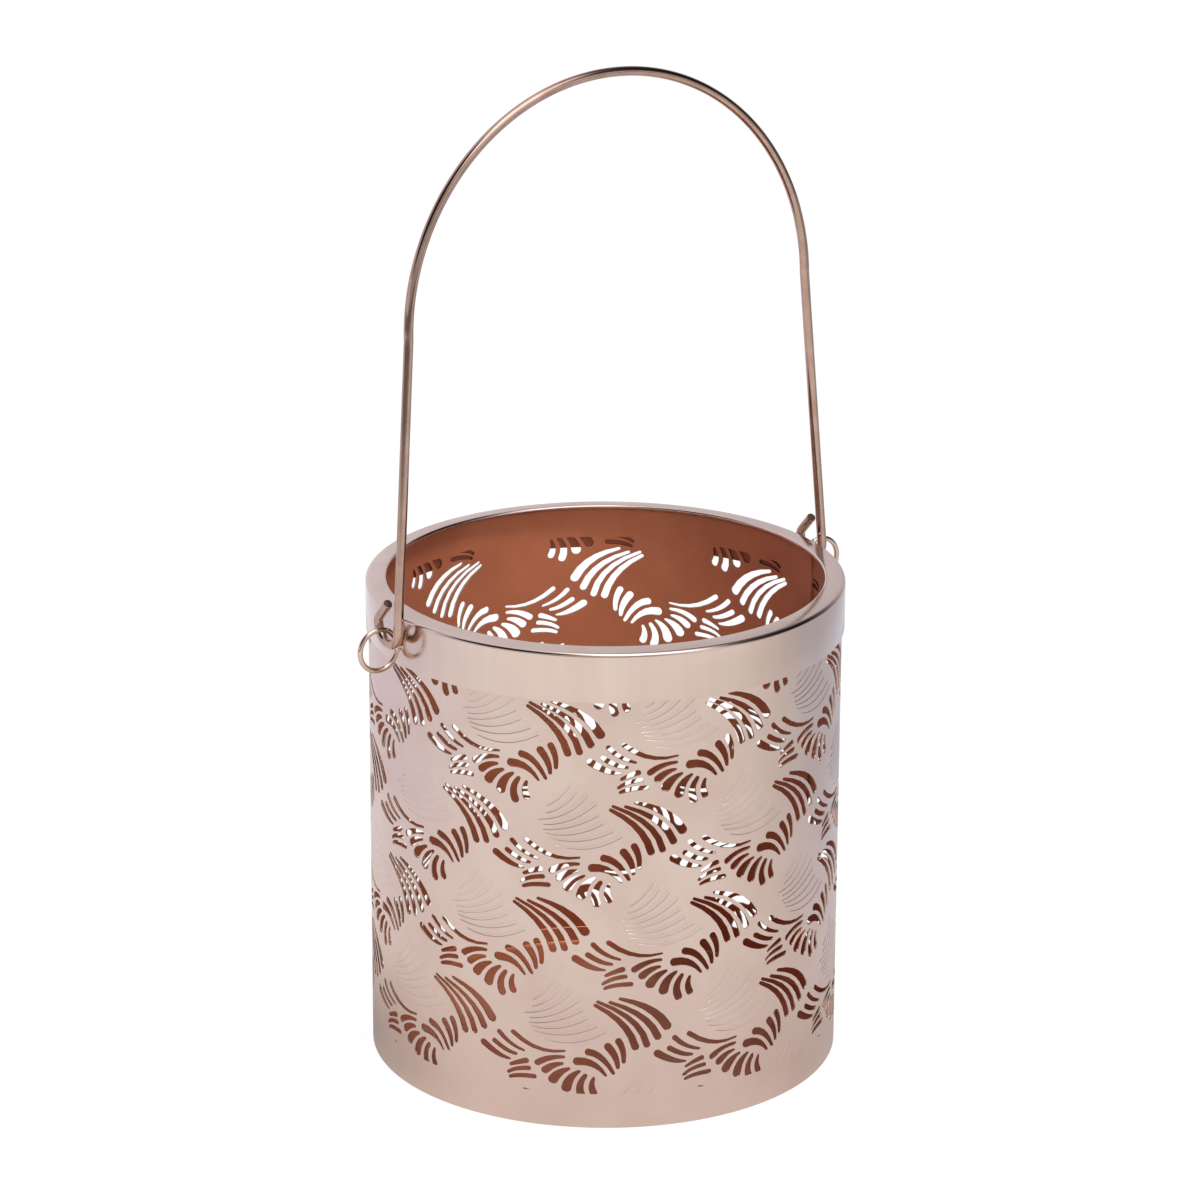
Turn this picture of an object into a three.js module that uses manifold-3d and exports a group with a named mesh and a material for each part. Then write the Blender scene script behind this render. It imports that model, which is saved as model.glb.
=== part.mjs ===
// Candle lantern: a pierced sheet-metal bucket with a pressed rim band and a wire bail.
// Millimetres, +Z up. The origin is the centre of the underside, and the bail's ears lie on the X axis.
// An angle round the body is measured from -Y towards +X, as seen from above anticlockwise.
import * as THREE from 'three';
import { mergeGeometries, mergeVertices } from 'three/addons/utils/BufferGeometryUtils.js';
import Module from 'manifold-3d';

// Sleeve: one rolled sheet with its ends lapped at the +X ear
const FACETS = 48;            // flats round every turned part, a multiple of four
const WALL_R = 62;            // outer radius
const WALL_T = 0.5;           // sheet thickness
const RIM_Z = 130.3;          // height of the body, at the inner edge of the rim
const FIT = 0.05;             // clearance between sheets that are pressed together
const LAP_FACETS = 1;         // width of the sheet's start that laps inside its end, in flats

// Base: a pressed disc whose edge turns up inside the sleeve
const BASE_T = 0.6;
const BASE_FLANGE_H = 5;
const BASE_BEND_R = 1.2;

// Rim band: skirt over the sleeve's top, rounded edge, top flange with a hemmed inner edge
const BAND_T = 0.65;
const BAND_H = 13.5;
const BAND_EDGE_R = 1.0;      // rounding between the skirt and the top
const RIM_FALL = 0.35;        // the top falls this much towards the outside
const RIM_OPENING_R = 57.2;
const HEM_W = 1.8;
const HEM_T = 1.1;

// Ears: wire rings brazed to the band, standing in the vertical plane through the axis
const EAR_WIRE = 1.4;         // wire diameter
const EAR_R = 5.45;           // radius of the ring's centre line
const EAR_DROP = 8.3;         // ring centre below the rim
const EAR_GAP = 0.25;         // ring to band, bridged by the braze
const BRAZE_R = 1.5;
const BRAZE_H = 0.9;

// Bail: one wire with an arch, two slightly splayed legs and a hook at each end
const WIRE = 2.5;             // wire diameter
const ARCH_R = 60.7;          // radius of the arch's centre line
const BAIL_RISE = 137;        // hinge axis to the top of the arch's centre line
const HOOK_R = 4.9;           // radius of the hook's bend
const HOOK_GAP = 0.3;         // wire to ring at rest
const HOOK_SEAT = THREE.MathUtils.degToRad(20); // where the hook lies in the ring, above its band side
const CURL_R = 2.2;           // tight bend that turns the hook's end in
const CURL_TURN = THREE.MathUtils.degToRad(45);
const CURL_RUN = 6.4;         // straight end after that bend
const WIRE_SIDES = 10;

// Pierced ornament: one motif of teardrop slots, repeated round the sleeve in shifted rows
const REPEAT = 46.3;          // motif to motif along the sheet
const ROW_PITCH = 26.8;
const ROW_SHIFT = 21.3;       // each row lies this much further along than the row above
const FIRST_ROW_Z = 102.3;
const FIRST_ALONG = 15.46;    // seam to the first motif of the first row
const TOP_ROW_AHEAD = 0.6;    // the row above it, mostly behind the band, lies this much further along
const TOP_ROW_DROP = 2.0;     // and this much lower than the rows' pitch puts it
const PIERCE_BOTTOM = 9.4;    // the pattern is cut off straight here
const PIERCE_TOP = 120.4;     // and here, behind the band
const SEAM_MARGIN = 3;        // no slot nearer to the seam

// Slots of the motif: narrow end, half-way, wide end (along, up from the motif's point) and width, all in
// hundredths of the repeat. The four long ones are the wing, then come two upright petals, three of the
// fan and one of the swoop.
const SLOTS = [
  { tail: [-24.0, 27.4], mid: [-7.8, 15.3], head: [-0.2, -0.6], width: 4.3, long: true },
  { tail: [-22.6, 29.4], mid: [-2.2, 17.3], head: [6.2, 0.5], width: 4.0, long: true },
  { tail: [-15.8, 29.0], mid: [3.0, 19.1], head: [12.6, 4.8], width: 4.3, long: true },
  { tail: [-10.2, 31.0], mid: [7.8, 23.4], head: [18.3, 10.4], width: 5.2, long: true },
  { tail: [-16.5, -16.1], mid: [-24.6, -8.4], head: [-35.3, -7.8], width: 5.2 },
  { tail: [-12.3, -15.0], mid: [-19.9, -4.4], head: [-28.7, -1.6], width: 4.5 },
  { tail: [-36.6, -11.7], mid: [-43.6, -15.6], head: [-47.0, -21.7], width: 5.6 },
  { tail: [-30.9, -12.9], mid: [-36.9, -18.1], head: [-38.9, -26.2], width: 5.6 },
  { tail: [-27.4, -14.7], mid: [-31.3, -22.2], head: [-29.0, -30.0], width: 4.9 },
  { tail: [-71.1, -9.8], mid: [-79.7, -8.0], head: [-89.8, -1.9], width: 4.5 },
];
const SLOT_AREA = 4;          // what the cut-off leaves smaller than this is not pierced

// Sizes that follow from the ones above
const bandR = WALL_R + FIT + BAND_T;
const bandBottom = RIM_Z - BAND_H;
const bandTop = RIM_Z - RIM_FALL;
const wallTop = bandTop - BAND_EDGE_R; // below the band's rounding
const baseR = WALL_R - WALL_T - FIT;
const earX = bandR + EAR_GAP + EAR_R + EAR_WIRE / 2;
const earZ = RIM_Z - EAR_DROP;
const hookReach = EAR_R - EAR_WIRE / 2 - WIRE / 2 - HOOK_GAP; // ring centre to the hook's wire
const hookX = earX - hookReach * Math.cos(HOOK_SEAT);
const hookBottom = earZ + hookReach * Math.sin(HOOK_SEAT);
const hingeZ = earZ + Math.sqrt(EAR_R ** 2 - (earX - hookX) ** 2); // the ring's wire inside the hook
const bailLean = Math.atan2(HOOK_R, BAIL_RISE); // the top of the arch stands over the hinge axis
const seamLength = 2 * Math.PI * WALL_R;

const wasm = await Module();
wasm.setup();

function weld(geometry) {
  const plain = geometry.index ? geometry : geometry.clone();
  plain.deleteAttribute('normal');
  plain.deleteAttribute('uv');
  return mergeVertices(plain, 1e-4);
}

function toSolid(geometry) {
  const merged = weld(geometry);
  return new wasm.Manifold(new wasm.Mesh({
    numProp: 3,
    vertProperties: new Float32Array(merged.attributes.position.array),
    triVerts: new Uint32Array(merged.index.array),
  }));
}

function toGeometry(solid) {
  const { vertProperties, triVerts } = solid.getMesh();
  const geometry = new THREE.BufferGeometry();
  geometry.setAttribute('position', new THREE.BufferAttribute(new Float32Array(vertProperties), 3));
  geometry.setIndex(new THREE.BufferAttribute(new Uint32Array(triVerts), 1));
  return geometry;
}

// Turns a closed outline of [radius, height] pairs, given anticlockwise, round the Z axis
function turned(outline) {
  const points = outline.map(([r, z]) => new THREE.Vector2(r, z));
  if (outline.every(([r]) => r > 0)) points.push(points[0].clone());
  return new THREE.LatheGeometry(points, FACETS).rotateX(Math.PI / 2);
}

// Points of an arc, in degrees
function arc(cx, cy, radius, from, to, steps) {
  return Array.from({ length: steps + 1 }, (_, i) => {
    const a = THREE.MathUtils.degToRad(from + (to - from) * i / steps);
    return [cx + radius * Math.cos(a), cy + radius * Math.sin(a)];
  });
}

// Stands a flat outline, drawn along the sheet and upwards, on the sleeve between two radii. Its sides
// are parallel, as a punch cuts them, and square to the sheet at the outline's middle.
function punched(outline, inner, outer) {
  const box = new THREE.Box2().setFromPoints(outline);
  const middle = (box.min.x + box.max.x) / 2;
  const shape = new THREE.Shape(outline.map((p) => new THREE.Vector2(p.x - middle, p.y)));
  const geometry = new THREE.ExtrudeGeometry(shape, { depth: outer - inner, bevelEnabled: false });
  const angle = Math.PI / 2 + middle / WALL_R;
  const along = new THREE.Vector3(Math.cos(angle), Math.sin(angle), 0);
  const outward = new THREE.Vector3(Math.sin(angle), -Math.cos(angle), 0);
  const placed = new THREE.Matrix4().makeBasis(along, new THREE.Vector3(0, 0, 1), outward);
  return geometry.applyMatrix4(placed.setPosition(outward.multiplyScalar(inner)));
}

// Outline of one slot, a teardrop on a bowed line: five corners if it is long, otherwise four
function slotOutline({ tail, mid, head, width, long }) {
  const unit = REPEAT / 100;
  const [narrow, middle, wide] = [tail, mid, head].map((p) => new THREE.Vector2(...p).multiplyScalar(unit));
  const pull = middle.multiplyScalar(2).sub(narrow.clone().lerp(wide, 0.5));
  const line = new THREE.QuadraticBezierCurve(narrow, pull, wide);
  const beside = (k, share) => {
    const way = line.getTangent(k);
    const across = new THREE.Vector2(-way.y, way.x).multiplyScalar(share * width * unit / 2);
    return line.getPoint(k).add(across);
  };
  if (!long) return [narrow, beside(0.65, -1.2), beside(1.08, -0.1), beside(0.66, 1.25)];
  return [narrow, beside(0.44, -0.75), beside(1, -1.1), beside(0.94, 1.08), beside(0.5, 1.18)];
}

// Keeps the part of an outline on one side of a level line
function clipped(points, level, keepAbove) {
  const inside = (p) => (keepAbove ? p.y >= level : p.y <= level);
  return points.flatMap((p, i) => {
    const q = points[(i + 1) % points.length];
    const kept = inside(p) ? [p] : [];
    if (inside(p) !== inside(q)) kept.push(p.clone().lerp(q, (level - p.y) / (q.y - p.y)));
    return kept;
  });
}

function slotOutlines() {
  const outlines = [];
  const rows = Math.ceil((FIRST_ROW_Z - PIERCE_BOTTOM) / ROW_PITCH) + 2;
  for (let row = -1; row < rows; row += 1) {
    const z = FIRST_ROW_Z - row * ROW_PITCH - (row < 0 ? TOP_ROW_DROP : 0);
    const start = (FIRST_ALONG + row * ROW_SHIFT + (row < 0 ? TOP_ROW_AHEAD : 0)) % REPEAT - REPEAT;
    for (let along = start; along < seamLength + REPEAT; along += REPEAT) {
      for (const slot of SLOTS) {
        let outline = slotOutline(slot).map((p) => p.add(new THREE.Vector2(along, z)));
        outline = clipped(clipped(outline, PIERCE_BOTTOM, true), PIERCE_TOP, false);
        if (outline.length < 3 || Math.abs(THREE.ShapeUtils.area(outline)) < SLOT_AREA) continue;
        const clear = outline.every((p) => p.x > SEAM_MARGIN && p.x < seamLength - SEAM_MARGIN);
        if (clear) outlines.push(outline);
      }
    }
  }
  return outlines;
}

function sleeveGeometry() {
  const inner = WALL_R - WALL_T;
  const lapInner = inner - WALL_T;
  const lapFrom = BASE_FLANGE_H + FIT;
  const flat = WALL_R * 2 * Math.PI / FACETS;
  const reach = 2 * WALL_T;
  const slots = slotOutlines().map((outline) => punched(outline, inner - reach, WALL_R + reach));
  let sheet = toSolid(turned([[inner, 0], [WALL_R, 0], [WALL_R, wallTop], [inner, wallTop]]))
    .subtract(toSolid(mergeGeometries(slots)));
  // The start of the sheet is plain and closes the slots that it laps
  for (let i = -LAP_FACETS; i < 0; i += 1) {
    const lap = [[i, lapFrom], [i + 1, lapFrom], [i + 1, wallTop], [i, wallTop]]
      .map(([k, z]) => new THREE.Vector2(k * flat, z));
    sheet = sheet.add(toSolid(punched(lap, lapInner, inner)));
  }
  return toGeometry(sheet);
}

function baseGeometry() {
  const outer = arc(baseR - BASE_BEND_R, BASE_BEND_R, BASE_BEND_R, -90, 0, 3);
  const inner = arc(baseR - BASE_BEND_R, BASE_BEND_R, BASE_BEND_R - BASE_T, 0, -90, 3);
  return turned([[0, 0], ...outer, [baseR, BASE_FLANGE_H], [baseR - BASE_T, BASE_FLANGE_H], ...inner,
    [0, BASE_T]]);
}

function bandGeometry() {
  const edgeR = bandR - BAND_EDGE_R;
  const edgeZ = bandTop - BAND_EDGE_R;
  const hemR = RIM_OPENING_R + HEM_W;
  return turned([
    [bandR, bandBottom],
    ...arc(edgeR, edgeZ, BAND_EDGE_R, 0, 90, 4),
    [RIM_OPENING_R + HEM_T / 3, RIM_Z], [RIM_OPENING_R, RIM_Z - HEM_T / 3],
    [RIM_OPENING_R, RIM_Z - 2 * HEM_T / 3], [RIM_OPENING_R + HEM_T / 3, RIM_Z - HEM_T],
    [hemR, RIM_Z - HEM_T], [hemR, RIM_Z - BAND_T - RIM_FALL / 2],
    ...arc(edgeR, edgeZ, BAND_EDGE_R - BAND_T, 90, 0, 2),
    [bandR - BAND_T, bandBottom],
  ]);
}

function earGeometry() {
  const ring = toSolid(new THREE.TorusGeometry(EAR_R, EAR_WIRE / 2, 8, 28).rotateX(Math.PI / 2));
  const foot = new THREE.CylinderGeometry(BRAZE_R * 0.6, BRAZE_R, BRAZE_H, 12).rotateZ(-Math.PI / 2);
  foot.translate(-(EAR_R + EAR_WIRE / 2) + BRAZE_H / 2, 0, 0);
  return toGeometry(ring.add(toSolid(foot)));
}

// The bail's centre line, hinge axis at the origin, main legs in the plane y = -HOOK_R
class BailCurve extends THREE.Curve {
  constructor() {
    super();
    const bendZ = hookBottom + HOOK_R - hingeZ;
    const archZ = BAIL_RISE - ARCH_R;
    const curlY = HOOK_R - CURL_R;
    const curlEnd = [curlY + CURL_R * Math.cos(CURL_TURN), bendZ + CURL_R * Math.sin(CURL_TURN)];
    const run = (k) => [curlEnd[0] - k * Math.sin(CURL_TURN), curlEnd[1] + k * Math.cos(CURL_TURN)];
    const turnDeg = THREE.MathUtils.radToDeg(CURL_TURN);
    const hook = [
      run(CURL_RUN), run(CURL_RUN / 2),
      ...arc(curlY, bendZ, CURL_R, turnDeg, 0, 4).slice(0, -1),
      ...arc(0, bendZ, HOOK_R, 0, -180, 16),
    ].map(([y, z]) => new THREE.Vector3(hookX, y, z));
    const leg = [1 / 4, 2 / 4, 3 / 4].map((k) => new THREE.Vector3(
      THREE.MathUtils.lerp(hookX, ARCH_R, k), -HOOK_R, THREE.MathUtils.lerp(bendZ, archZ, k),
    ));
    const half = [...hook, ...leg, ...arc(0, archZ, ARCH_R, 0, 90, 20)
      .map(([x, z]) => new THREE.Vector3(x, -HOOK_R, z))];
    const mirrored = half.slice(0, -1).reverse().map((p) => new THREE.Vector3(-p.x, p.y, p.z));
    this.points = [...half, ...mirrored];
  }

  getPoint(t, target = new THREE.Vector3()) {
    const at = t * (this.points.length - 1);
    const i = Math.min(Math.floor(at), this.points.length - 2);
    return target.lerpVectors(this.points[i], this.points[i + 1], at - i);
  }

  // Stations lie at the listed points, closer together in the bends
  getPointAt(u, target) {
    return this.getPoint(u, target);
  }

  getTangentAt(u, target = new THREE.Vector3()) {
    const last = this.points.length - 1;
    const i = Math.round(u * last);
    const before = this.points[i].clone().sub(this.points[Math.max(i - 1, 0)]).normalize();
    const after = this.points[Math.min(i + 1, last)].clone().sub(this.points[i]).normalize();
    return target.copy(before.add(after)).normalize();
  }
}

function bailGeometry() {
  const path = new BailCurve();
  const section = new THREE.Shape(arc(0, 0, WIRE / 2, 0, 360 - 360 / WIRE_SIDES, WIRE_SIDES - 1)
    .map(([x, y]) => new THREE.Vector2(x, y)));
  return new THREE.ExtrudeGeometry(section, { steps: path.points.length - 1, extrudePath: path });
}

function finish(color, roughness) {
  return new THREE.MeshStandardMaterial({ color, roughness, metalness: 1 });
}

function piece(name, geometry, material) {
  const mesh = new THREE.Mesh(weld(geometry), material);
  mesh.name = name;
  return mesh;
}

const satin = finish(0xdbc7ba, 0.38);
const polished = finish(0xcf9f86, 0.2);

const sleeve = piece('wall_sleeve', sleeveGeometry(), satin);
const base = piece('base_plate', baseGeometry(), finish(0xc9ada0, 0.4));
const band = piece('rim_band', bandGeometry(), satin.clone());

const ears = [['ear_ring_left', -1], ['ear_ring_right', 1]].map(([name, side]) => {
  const ear = piece(name, earGeometry(), polished.clone());
  ear.position.set(side * earX, 0, earZ);
  ear.rotation.z = side < 0 ? Math.PI : 0;
  return ear;
});

const bail = piece('bail_handle', bailGeometry(), polished);
bail.position.z = hingeZ;
bail.rotation.x = -bailLean;

const lantern = new THREE.Group();
lantern.add(sleeve, base, band, ...ears, bail);

export default lantern;
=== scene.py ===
"""Candle lantern: pierced sleeve, rim band, ring ears and wire bail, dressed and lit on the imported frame."""
from __future__ import annotations

import logging
import math
from dataclasses import dataclass
from enum import Enum, IntEnum
from typing import Sequence

import bpy
import numpy as np
from mathutils import Matrix, Vector
from mathutils.geometry import delaunay_2d_cdt


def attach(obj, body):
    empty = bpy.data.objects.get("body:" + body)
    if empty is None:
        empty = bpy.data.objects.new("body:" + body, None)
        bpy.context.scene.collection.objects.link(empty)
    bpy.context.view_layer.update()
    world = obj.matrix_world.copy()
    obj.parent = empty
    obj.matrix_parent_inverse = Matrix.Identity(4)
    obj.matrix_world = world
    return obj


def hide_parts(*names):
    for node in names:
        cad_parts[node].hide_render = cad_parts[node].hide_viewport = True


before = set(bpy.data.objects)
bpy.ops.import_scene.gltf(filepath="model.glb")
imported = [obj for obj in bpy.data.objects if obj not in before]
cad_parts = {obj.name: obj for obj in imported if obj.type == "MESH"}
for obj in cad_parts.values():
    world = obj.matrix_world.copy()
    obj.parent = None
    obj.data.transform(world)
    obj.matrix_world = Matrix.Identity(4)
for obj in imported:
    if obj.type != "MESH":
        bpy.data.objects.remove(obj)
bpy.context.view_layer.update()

log = logging.getLogger("lantern")
MM = 0.001
Pair = tuple[float, float]
Place = tuple[float, float, float]
Colour = tuple[float, float, float]
Array = np.ndarray
Socket = bpy.types.NodeSocket
WHITE: Colour = (1.0, 1.0, 1.0)


# Shader graph

class Value:
    """A number in a shader graph; the usual operators add Math nodes."""

    def __init__(self, graph: Graph, socket: Socket) -> None:
        """Wraps one output socket of a graph."""
        self.graph = graph
        self.socket = socket

    def _math(self, operation: str, *terms: Value | float, clamp: bool = False) -> Value:
        """Adds one Math node.

        Args:
            operation: The node's operation.
            terms: Its inputs in order.
            clamp: Whether the result is kept between 0 and 1.

        Returns:
            The node's result.
        """
        node = self.graph.add("ShaderNodeMath", {"operation": operation, "use_clamp": clamp},
                              dict(enumerate(terms)))
        return Value(self.graph, node.outputs[0])

    def __add__(self, other: Value | float) -> Value:
        """Sum."""
        return self._math("ADD", self, other)

    def __sub__(self, other: Value | float) -> Value:
        """Difference."""
        return self._math("SUBTRACT", self, other)

    def __mul__(self, other: Value | float) -> Value:
        """Product."""
        return self._math("MULTIPLY", self, other)

    def __rsub__(self, other: float) -> Value:
        """Difference from a number."""
        return self._math("SUBTRACT", other, self)

    __radd__ = __add__
    __rmul__ = __mul__

    def max(self, other: Value | float) -> Value:
        """The larger of two numbers."""
        return self._math("MAXIMUM", self, other)

    def band(self, low: float, high: float) -> Value:
        """Rises from 0 at low to 1 at high; falls where low is the larger."""
        return self._math("MULTIPLY", self - low, 1.0 / (high - low), clamp=True)


class Graph:
    """The node tree of one material or world."""

    def __init__(self, tree: bpy.types.NodeTree) -> None:
        """Empties the tree and keeps it."""
        self.tree = tree
        tree.nodes.clear()

    def add(self, kind: str, settings: dict[str, object] | None = None,
            inputs: dict[int | str, object] | None = None) -> bpy.types.Node:
        """Adds one node.

        Args:
            kind: The node's type name.
            settings: Properties, set before the sockets are filled.
            inputs: Socket index or name to a Value, a socket or a constant.

        Returns:
            The new node.
        """
        node = self.tree.nodes.new(kind)
        for key, value in (settings or {}).items():
            setattr(node, key, value)
        for key, value in (inputs or {}).items():
            if isinstance(value, Value):
                value = value.socket
            if isinstance(value, Socket):
                self.tree.links.new(value, node.inputs[key])
            else:
                node.inputs[key].default_value = value
        return node

    def coordinates(self) -> Socket:
        """Object coordinates, in metres."""
        return self.add("ShaderNodeTexCoord").outputs["Object"]

    def rays(self) -> list[Value]:
        """Whether a ray is the camera's, one that went through something, or one that metal reflects."""
        outputs = self.add("ShaderNodeLightPath").outputs
        return [Value(self, outputs[f"Is {kind} Ray"]) for kind in ("Camera", "Transmission", "Glossy")]

    def dot(self, vector: Socket, direction: Place) -> Value:
        """How far a vector reaches in a direction."""
        node = self.add("ShaderNodeVectorMath", {"operation": "DOT_PRODUCT"}, {0: vector, 1: direction})
        return Value(self, node.outputs["Value"])

    def noise(self, vector: Socket, scale: float, detail: float = 2.0, roughness: float = 0.5) -> Value:
        """Noise between 0 and 1, with that many cells to a metre."""
        node = self.add("ShaderNodeTexNoise", None,
                        {"Vector": vector, "Scale": scale, "Detail": detail, "Roughness": roughness})
        return Value(self, node.outputs["Fac"])

    def mix(self, factor: Value | float, first: object, second: object) -> Socket:
        """Blends two colours.

        Args:
            factor: 0 gives the first, 1 the second.
            first: A colour or a colour socket.
            second: The same.

        Returns:
            The blended colour's socket.
        """
        both = [(*c, 1.0) if isinstance(c, tuple) and len(c) == 3 else c for c in (first, second)]
        node = self.add("ShaderNodeMix", {"data_type": "RGBA"}, {0: factor, 6: both[0], 7: both[1]})
        return node.outputs[2]

    def bump(self, height: Value, distance: float, normal: Socket | None = None) -> Socket:
        """Bumps a normal by a height.

        Args:
            height: The height, 0 to 1.
            distance: Metres that a height of 1 stands for.
            normal: The normal to start from, if not the surface's own.

        Returns:
            The bumped normal's socket.
        """
        inputs = {"Height": height, "Distance": distance}
        if normal is not None:
            inputs["Normal"] = normal
        return self.add("ShaderNodeBump", None, inputs).outputs["Normal"]


# Finishes

@dataclass(frozen=True)
class PlatedMetal:
    """Rose-gold plated sheet or wire: two mottled tones, fine grain, slight waves and faint scuffs.

    Scales are cells to a metre and heights are metres; upright stretches mottle and waves along Z where under 1.
    """

    name: str
    tone: Colour
    mottle: Colour
    roughness: float
    metallic: float = 1.0
    roughness_spread: float = 0.06
    mottle_scale: float = 45.0
    mottle_band: Pair = (0.35, 0.7)
    upright: float = 1.0
    grain_scale: float = 2600.0
    grain_height: float = 2.0e-6
    wave_scale: float = 28.0
    wave_height: float = 0.0
    scuffs: float = 0.0
    scuff_tone: Colour = (0.9, 0.82, 0.76)
    scuff_roughness: float = 0.15
    scuff_scale: float = 900.0
    scuff_band: Pair = (0.62, 0.74)
    worn_scale: float = 120.0
    worn_band: Pair = (0.45, 0.65)

    def material(self) -> bpy.types.Material:
        """Builds the node material.

        One broad noise blends the two tones and varies the roughness. Scuffs show where a fine noise and a
        coarse one, the worn places, are both high.

        Returns:
            The finished material.
        """
        made = bpy.data.materials.new(self.name)
        made.use_nodes = True
        graph = Graph(made.node_tree)
        place = graph.coordinates()
        drawn = graph.add("ShaderNodeMapping", None, {"Vector": place, "Scale": (1.0, 1.0, self.upright)}).outputs[0]
        broad = graph.noise(drawn, self.mottle_scale, detail=4.0, roughness=0.6)
        tone = graph.mix(broad.band(*self.mottle_band), self.tone, self.mottle)
        rough = self.roughness + (broad - 0.5) * self.roughness_spread
        if self.scuffs:
            fine = graph.noise(place, self.scuff_scale, detail=3.0, roughness=0.7).band(*self.scuff_band)
            rub = fine * graph.noise(place, self.worn_scale).band(*self.worn_band)
            tone = graph.mix(rub * self.scuffs, tone, self.scuff_tone)
            rough = rough + rub * self.scuff_roughness * self.scuffs
        normal = graph.bump(graph.noise(place, self.grain_scale), self.grain_height)
        if self.wave_height:
            normal = graph.bump(graph.noise(drawn, self.wave_scale, detail=1.0), self.wave_height, normal)
        shader = graph.add("ShaderNodeBsdfPrincipled", None, {
            "Base Color": tone, "Metallic": self.metallic, "Roughness": rough, "Normal": normal})
        graph.add("ShaderNodeOutputMaterial", None, {"Surface": shader.outputs[0]})
        return made


SATIN_OUTSIDE = PlatedMetal("satin_rose_gold", (0.755, 0.603, 0.522), (0.70, 0.533, 0.462), 0.33, wave_height=6e-5)
COPPER_INSIDE = PlatedMetal("copper_inside", (0.46, 0.155, 0.078), (0.39, 0.124, 0.062), 0.36, metallic=0.45)
COPPER_FLOOR = PlatedMetal("copper_floor", (0.60, 0.25, 0.14), (0.50, 0.19, 0.10), 0.34, metallic=0.6)
BARE_EDGE = PlatedMetal("cut_edge", (0.44, 0.28, 0.21), (0.36, 0.215, 0.155), 0.25, metallic=0.85)
ETCHED = PlatedMetal("etched_mark", (0.745, 0.60, 0.53), (0.70, 0.54, 0.475), 0.36)
SATIN_BAND = PlatedMetal("satin_band", (0.725, 0.58, 0.505), (0.65, 0.50, 0.425), 0.16, upright=0.12,
                         roughness_spread=0.03, wave_height=1e-4)
BAND_BACK = PlatedMetal("band_back", (0.30, 0.095, 0.05), (0.23, 0.07, 0.038), 0.5, metallic=0.6)
BRIGHT_RING = PlatedMetal("bright_ring", (0.68, 0.52, 0.42), (0.58, 0.43, 0.34), 0.06, roughness_spread=0.02)
BAIL_WIRE = PlatedMetal("bail_wire", (0.53, 0.365, 0.29), (0.42, 0.275, 0.21), 0.12, roughness_spread=0.04,
                        scuffs=0.35, mottle_scale=160.0)
CUT_WIRE = PlatedMetal("cut_wire", (0.16, 0.09, 0.065), (0.10, 0.055, 0.04), 0.4, metallic=0.7)
UNDERSIDE = PlatedMetal("satin_underside", (0.66, 0.52, 0.45), (0.60, 0.46, 0.39), 0.42, scuffs=0.4)


class Side(Enum):
    """The two ends of the bail's hinge axis."""

    LEFT = -1
    RIGHT = 1


# Surfaces

def full_turn(count: int) -> Array:
    """Evenly spaced angles once round."""
    return np.arange(count) * 2.0 * np.pi / count


def arc(centre: Pair, radius: float, start: float, end: float, count: int) -> Array:
    """Points on a circle: centre plus radius times cosine and sine of evenly spaced angles.

    Args:
        centre: The circle's centre.
        radius: Its radius.
        start: First angle in degrees.
        end: Last angle in degrees.
        count: Number of points.

    Returns:
        An array of count points.
    """
    angle = np.radians(np.linspace(start, end, count))
    return np.asarray(centre) + radius * np.column_stack([np.cos(angle), np.sin(angle)])


def new_piece(name: str, points: Array, faces: Sequence[Array], finishes: Sequence[PlatedMetal],
              chosen: Array | None = None, sharp: float | None = 35.0) -> bpy.types.Object:
    """Makes a mesh object at the origin from whole arrays.

    Args:
        name: The object's name.
        points: Corner positions in millimetres.
        faces: Arrays of corner numbers, one row to a face.
        finishes: The piece's finishes.
        chosen: The number of each face's finish, if not the first everywhere.
        sharp: Faces that meet at more than this many degrees keep a hard edge.

    Returns:
        The linked object.
    """
    mesh = bpy.data.meshes.new(name)
    mesh.from_pydata((points * MM).tolist(), [], [row for group in faces for row in group.tolist()])
    mesh.polygons.foreach_set("use_smooth", np.ones(len(mesh.polygons), bool))
    for finish in finishes:
        mesh.materials.append(finish.material())
    if chosen is not None:
        mesh.polygons.foreach_set("material_index", chosen.astype(np.int32))
    if sharp is not None:
        mesh.set_sharp_from_angle(angle=math.radians(sharp))
    mesh.update()
    piece = bpy.data.objects.new(name, mesh)
    bpy.context.scene.collection.objects.link(piece)
    return piece


def revolved(outline: Array, segments: int, closed: bool = True) -> tuple[Array, list[Array]]:
    """Turns an outline round the Z axis.

    A point of radius r at turn a lies at (r cos a, r sin a, z); the outline runs anticlockwise in the
    plane of radius and height, so the faces point outwards.

    Args:
        outline: Radius and height of each point.
        segments: Steps round the axis.
        closed: Whether the outline's last point joins its first.

    Returns:
        The points, and the quads between neighbouring outlines.
    """
    turn = full_turn(segments)
    points = np.stack([
        np.outer(np.cos(turn), outline[:, 0]), np.outer(np.sin(turn), outline[:, 0]),
        np.broadcast_to(outline[:, 1], (segments, len(outline)))], axis=-1).reshape(-1, 3)
    return points, [grid_quads(segments, len(outline), close_columns=closed)]


def grid_quads(rows: int, columns: int, close_rows: bool = True, close_columns: bool = True) -> Array:
    """Quads of a grid of points, whose rows and columns may close on themselves.

    Args:
        rows: Number of rows.
        columns: Points in each row.
        close_rows: Whether the last row joins the first.
        close_columns: Whether each row's last point joins its first.

    Returns:
        Corner numbers (quads, 4), from each point by way of the next row.
    """
    index = np.arange(rows * columns).reshape(rows, columns)
    quads = np.stack([index, np.roll(index, -1, axis=0), np.roll(index, (-1, -1), axis=(0, 1)),
                      np.roll(index, -1, axis=1)], axis=-1)
    return quads[:rows if close_rows else -1, :columns if close_columns else -1].reshape(-1, 4)


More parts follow.
